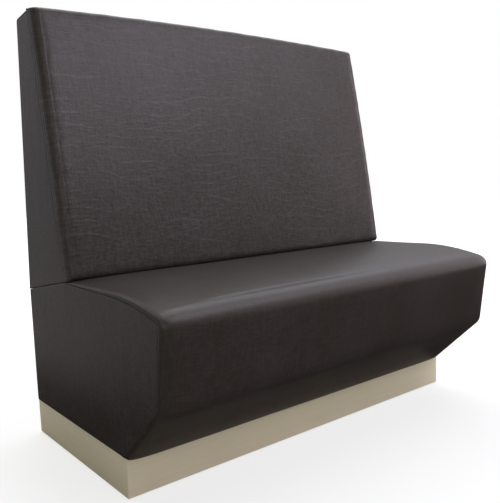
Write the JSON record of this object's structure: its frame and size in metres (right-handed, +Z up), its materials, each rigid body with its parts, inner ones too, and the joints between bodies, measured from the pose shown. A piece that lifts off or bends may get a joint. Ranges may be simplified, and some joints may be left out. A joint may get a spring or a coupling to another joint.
{
  "type": "restaurant booth bench",
  "caption": "High-backed restaurant booth bench in dark brown faux leather: waterfall-front seat, reclined padded back and a low beige plinth.",
  "frame": {"origin": "middle of the bench's overall box at floor level", "axes": "+X runs along the bench to the right of someone who faces its front, +Y points to the rear, +Z is up; the front of the seat faces -Y"},
  "size_m": [1.2, 0.7397, 1.198],
  "materials": {
    "brown_vinyl": "satin",
    "foam": "matte",
    "black_cloth": "matte",
    "beige_laminate": "satin",
    "plywood": "matte",
    "softwood": "matte",
    "spring_wire": "satin",
    "zinc_steel": "satin",
    "glide_plastic": "matte"
  },
  "bodies": {
    "root": {"back_bottom_board": "plywood", "back_face_panel": "plywood", "back_foam": "foam", "back_front_cover": "brown_vinyl", "back_rear_board": "plywood", "back_rear_cover": "brown_vinyl", "back_ribs": "plywood", "back_side_cover_left": "brown_vinyl", "back_side_cover_right": "brown_vinyl", "back_side_frame_left": "plywood", "back_side_frame_right": "plywood", "back_side_pad_left": "foam", "back_side_pad_right": "foam", "back_top_pad": "foam", "back_top_rail": "softwood", "bearer_board": "plywood", "bearer_upright": "plywood", "dust_cover": "black_cloth", "floor_glides": "glide_plastic", "joint_bolts": "zinc_steel", "joint_washers": "zinc_steel", "plinth_battens": "softwood", "plinth_corner_blocks": "softwood", "plinth_cross_rails": "softwood", "plinth_front_board": "beige_laminate", "plinth_left_board": "beige_laminate", "plinth_rear_board": "beige_laminate", "plinth_right_board": "beige_laminate", "plinth_screws": "zinc_steel", "seat_base_rail_front": "softwood", "seat_base_rail_rear": "softwood", "seat_cover": "brown_vinyl", "seat_end_panel_left": "plywood", "seat_end_panel_right": "plywood", "seat_foam": "foam", "seat_front_board": "plywood", "seat_front_pad": "foam", "seat_rear_board": "plywood", "seat_rear_cover": "brown_vinyl", "seat_rear_rail": "softwood", "seat_ribs": "plywood", "seat_side_cover_left": "brown_vinyl", "seat_side_cover_right": "brown_vinyl", "seat_side_pad_left": "foam", "seat_side_pad_right": "foam", "seat_sloped_board": "plywood", "sinuous_springs": "spring_wire", "spring_clips": "zinc_steel", "spring_cover_sheet": "black_cloth", "spring_rail_front": "softwood", "spring_rail_rear": "softwood", "spring_tie_wires": "spring_wire", "tee_nuts": "zinc_steel"}
  },
  "joints": []
}
